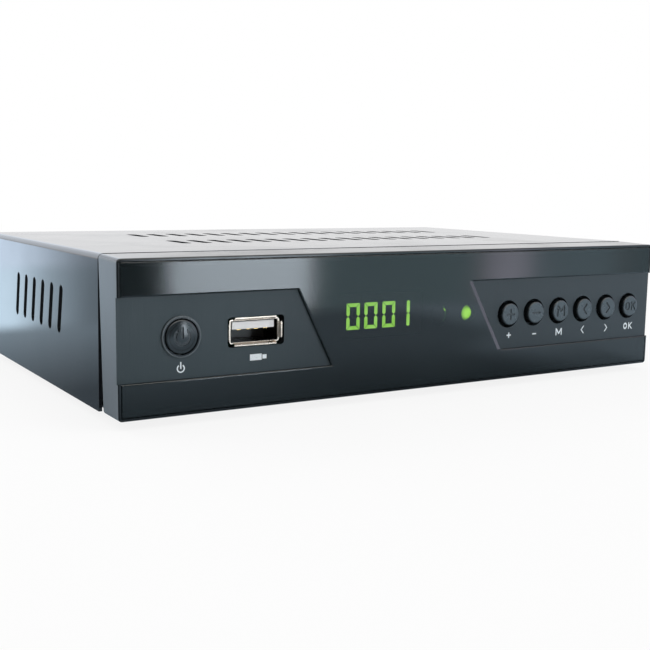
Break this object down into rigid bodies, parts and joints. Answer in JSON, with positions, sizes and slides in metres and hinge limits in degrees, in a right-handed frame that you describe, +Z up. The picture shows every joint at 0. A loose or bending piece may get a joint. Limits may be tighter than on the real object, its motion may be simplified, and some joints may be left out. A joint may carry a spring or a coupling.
{
  "type": "satellite tv receiver",
  "caption": "Set-top satellite tuner box: vented sheet cover, moulded front with push keys, smoked window, display and stick socket, and rear aerial, picture, sound and mains sockets.",
  "frame": {"origin": "on the table, under the middle of the outer box with the rear sockets counted in", "axes": "+X to the receiver's right seen from the front, +Y from the front to the rear, +Z up"},
  "size_m": [0.168, 0.1212, 0.0384],
  "materials": {
    "cover_paint": "glossy black paint",
    "tray_paint": "satin black paint",
    "foot_rubber": "matte",
    "front_plastic": "glossy at the sides, brushed matte panels",
    "smoked_window": "smoked, glossy",
    "key_plastic": "semi-gloss",
    "switch_plastic": "matte",
    "plunger_plastic": "matte",
    "green_board": "green solder mask",
    "supply_board": "plain laminate",
    "display_plastic": "matte",
    "lit_segments": "lit green",
    "light_lens": "lit green",
    "sensor_resin": "dark resin",
    "nickel_shell": "nickel plated",
    "white_moulding": "matte",
    "contact_gold": "gold plated",
    "black_moulding": "matte",
    "orange_moulding": "matte",
    "zinc_steel": "zinc plated",
    "black_screw": "black oxide",
    "nickel": "nickel plated",
    "chip_resin": "matte",
    "sink_aluminium": "as extruded",
    "can_sleeve": "shrunk sleeve",
    "ferrite": "matte",
    "winding_tape": "yellow tape",
    "choke_case": "matte",
    "fuse_glass": "clear",
    "liner_film": "matte film",
    "ribbon_jacket": "matte",
    "lead_jacket": "matte"
  },
  "bodies": {
    "case": {"top_cover": "cover_paint", "base_tray": "tray_paint", "rubber_feet": "foot_rubber", "front_bezel": "front_plastic", "front_window": "smoked_window", "switch_bodies": "switch_plastic", "front_board": "green_board", "display_housing": "display_plastic", "display_segments": "lit_segments", "status_light": "light_lens", "infrared_receiver": "sensor_resin", "stick_socket_shell": "nickel_shell", "stick_socket_insulator": "white_moulding", "stick_socket_contacts": "contact_gold", "main_board": "green_board", "supply_board": "supply_board", "board_spacers": "zinc_steel", "board_screws": "zinc_steel", "cover_screws": "black_screw", "bezel_screws": "black_screw", "processor": "chip_resin", "heatsink": "sink_aluminium", "memory_chips": "chip_resin", "capacitors": "can_sleeve", "transformer_core": "ferrite", "transformer_winding": "winding_tape", "line_choke": "choke_case", "mains_fuse": "fuse_glass", "insulation_sheet": "liner_film", "tuner_can": "nickel_shell", "tuner_lid": "nickel_shell", "aerial_sockets": "nickel", "aerial_insulators": "white_moulding", "aerial_contacts": "contact_gold", "aerial_nuts": "nickel", "av_socket": "black_moulding", "av_socket_contacts": "contact_gold", "digital_av_shell": "nickel_shell", "digital_av_tongue": "black_moulding", "coax_audio_socket": "nickel", "coax_audio_insulator": "orange_moulding", "mains_inlet": "black_moulding", "inlet_pins": "nickel", "ribbon_cable": "ribbon_jacket", "supply_lead": "lead_jacket"},
    "power_button_set": {"power_button": "key_plastic", "power_plunger": "plunger_plastic"},
    "plus_key_set": {"plus_key": "key_plastic", "plus_plunger": "plunger_plastic"},
    "minus_key_set": {"minus_key": "key_plastic", "minus_plunger": "plunger_plastic"},
    "menu_key_set": {"menu_key": "key_plastic", "menu_plunger": "plunger_plastic"},
    "left_key_set": {"left_key": "key_plastic", "left_plunger": "plunger_plastic"},
    "right_key_set": {"right_key": "key_plastic", "right_plunger": "plunger_plastic"},
    "ok_key_set": {"ok_key": "key_plastic", "ok_plunger": "plunger_plastic"}
  },
  "joints": [
    {"name": "power_button_press", "type": "slide", "parent": "case", "child": "power_button_set", "axis": [0, 1, 0], "range_m": [0, 0.0008], "stiffness_N_per_m": 1200},
    {"name": "plus_key_press", "type": "slide", "parent": "case", "child": "plus_key_set", "axis": [0, 1, 0], "range_m": [0, 0.0006], "stiffness_N_per_m": 1200},
    {"name": "minus_key_press", "type": "slide", "parent": "case", "child": "minus_key_set", "axis": [0, 1, 0], "range_m": [0, 0.0006], "stiffness_N_per_m": 1200},
    {"name": "menu_key_press", "type": "slide", "parent": "case", "child": "menu_key_set", "axis": [0, 1, 0], "range_m": [0, 0.0006], "stiffness_N_per_m": 1200},
    {"name": "left_key_press", "type": "slide", "parent": "case", "child": "left_key_set", "axis": [0, 1, 0], "range_m": [0, 0.0006], "stiffness_N_per_m": 1200},
    {"name": "right_key_press", "type": "slide", "parent": "case", "child": "right_key_set", "axis": [0, 1, 0], "range_m": [0, 0.0006], "stiffness_N_per_m": 1200},
    {"name": "ok_key_press", "type": "slide", "parent": "case", "child": "ok_key_set", "axis": [0, 1, 0], "range_m": [0, 0.0006], "stiffness_N_per_m": 1200}
  ]
}
